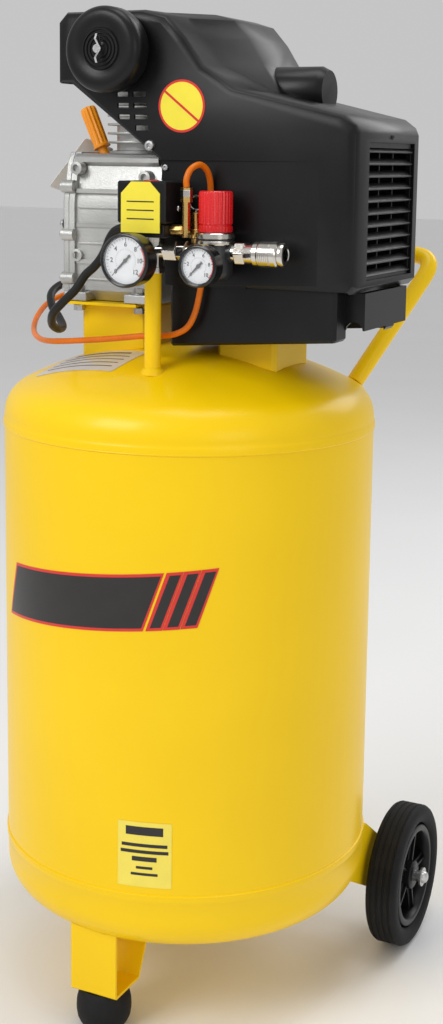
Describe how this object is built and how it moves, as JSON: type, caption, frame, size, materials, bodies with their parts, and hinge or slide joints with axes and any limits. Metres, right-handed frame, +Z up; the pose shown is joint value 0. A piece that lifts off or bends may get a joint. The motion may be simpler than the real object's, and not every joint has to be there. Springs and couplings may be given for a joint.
{
  "type": "air compressor",
  "caption": "Upright electric piston air compressor: tall air tank on two wheels and a rubber foot, with a shrouded pump, gauges and a quick coupler.",
  "frame": {"origin": "middle of the footprint's box, on the floor", "axes": "+Z up, the front with the gauges faces -Y, the motor end is at +X and the handle and wheels are at the back, +Y"},
  "size_m": [0.444, 0.4171, 0.9778],
  "materials": {
    "tank_yellow": "glossy powder coat",
    "black_plastic": "fine moulded texture",
    "rubber": "matte",
    "cast_aluminium": "die cast, satin",
    "steel": "zinc plated",
    "nickel": "nickel plated",
    "brass": "turned",
    "copper": "drawn copper, slightly dull",
    "red_plastic": "glossy",
    "orange_plastic": "satin",
    "dark_metal": "black, satin"
  },
  "bodies": {
    "frame": {"tank_shell": "tank_yellow", "upper_head": "tank_yellow", "lower_head": "tank_yellow", "foot_bracket": "tank_yellow", "foot_rubber": "rubber", "wheel_bracket_left": "tank_yellow", "wheel_bracket_right": "tank_yellow", "wheel_axle": "steel", "hub_nut_left": "steel", "hub_nut_right": "steel", "handle": "tank_yellow", "pump_saddle": "tank_yellow", "motor_saddle": "tank_yellow", "crankcase": "cast_aluminium", "end_cover": "cast_aluminium", "sight_glass": "nickel", "cylinder": "cast_aluminium", "valve_plate": "steel", "cylinder_head": "cast_aluminium", "filter_body": "black_plastic", "filter_lid": "black_plastic", "wing_nut": "steel", "motor_stator": "dark_metal", "run_capacitor": "dark_metal", "shroud": "black_plastic", "shroud_base": "black_plastic", "fan_grille": "black_plastic", "outlet_post": "tank_yellow", "manifold": "nickel", "switch_base": "black_plastic", "switch_cover": "black_plastic", "lead_gland": "rubber", "tank_gauge": "dark_metal", "line_gauge": "dark_metal", "regulator_body": "dark_metal", "coupler_body": "nickel", "safety_valve": "brass", "unloader_fitting": "brass", "check_valve": "brass", "delivery_pipe": "copper", "drain_valve": "brass", "switch_lead": "rubber", "unloader_line": "orange_plastic"},
    "wheel_left": {"tyre_left": "rubber", "rim_left": "black_plastic"},
    "wheel_right": {"tyre_right": "rubber", "rim_right": "black_plastic"},
    "shaft_line": {"crankshaft": "steel", "motor_rotor": "steel", "cooling_fan": "black_plastic"},
    "piston_and_rod": {"piston": "cast_aluminium", "connecting_rod": "cast_aluminium"},
    "regulator_knob": {"regulator_knob": "red_plastic"},
    "switch_knob": {"switch_knob": "red_plastic"},
    "safety_ring": {"safety_ring": "steel"},
    "coupler_sleeve": {"coupler_sleeve": "nickel"},
    "tank_needle": {"tank_needle": "dark_metal"},
    "line_needle": {"line_needle": "dark_metal"},
    "drain_screw": {"drain_screw": "brass"},
    "oil_plug": {"oil_plug": "orange_plastic"}
  },
  "joints": [
    {"name": "wheel_left_spin", "type": "hinge", "parent": "frame", "child": "wheel_left", "pos_m": [-0.193, 0.11965, 0.075], "axis": [1, 0, 0], "continuous": true},
    {"name": "wheel_right_spin", "type": "hinge", "parent": "frame", "child": "wheel_right", "pos_m": [0.193, 0.11965, 0.075], "axis": [1, 0, 0], "continuous": true},
    {"name": "shaft_spin", "type": "hinge", "parent": "frame", "child": "shaft_line", "pos_m": [0, -0.02235, 0.785], "axis": [1, 0, 0], "continuous": true},
    {"name": "piston_stroke", "type": "slide", "parent": "frame", "child": "piston_and_rod", "axis": [0, 0, 1], "range_m": [-0.034, 0]},
    {"name": "regulator_turn", "type": "hinge", "parent": "frame", "child": "regulator_knob", "pos_m": [0.08, -0.13035, 0.79], "axis": [0, 0, 1], "range_deg": [-540, 540]},
    {"name": "switch_pull", "type": "slide", "parent": "frame", "child": "switch_knob", "axis": [0, 0, 1], "range_m": [0, 0.008]},
    {"name": "safety_pull", "type": "slide", "parent": "frame", "child": "safety_ring", "axis": [0, 0, 1], "range_m": [0, 0.003], "stiffness_N_per_m": 100, "springref_m": -0.003},
    {"name": "coupler_release", "type": "slide", "parent": "frame", "child": "coupler_sleeve", "axis": [-1, 0, 0], "range_m": [0, 0.005], "stiffness_N_per_m": 200, "springref_m": -0.004},
    {"name": "tank_needle_turn", "type": "hinge", "parent": "frame", "child": "tank_needle", "pos_m": [0.0145, -0.17965, 0.7495], "axis": [0, 1, 0], "range_deg": [0, 270], "stiffness_Nm_per_rad": 0.00002, "springref_deg": -17.19},
    {"name": "line_needle_turn", "type": "hinge", "parent": "frame", "child": "line_needle", "pos_m": [0.0815, -0.16715, 0.7465], "axis": [0, 1, 0], "range_deg": [0, 270], "stiffness_Nm_per_rad": 0.00002, "springref_deg": -17.19},
    {"name": "drain_turn", "type": "hinge", "parent": "frame", "child": "drain_screw", "pos_m": [0, -0.02235, 0.0475], "axis": [0, 0, 1], "range_deg": [0, 720]},
    {"name": "oil_plug_pull", "type": "slide", "parent": "frame", "child": "oil_plug", "axis": [-0.4067, 0, 0.9135], "range_m": [0, 0.03]}
  ]
}
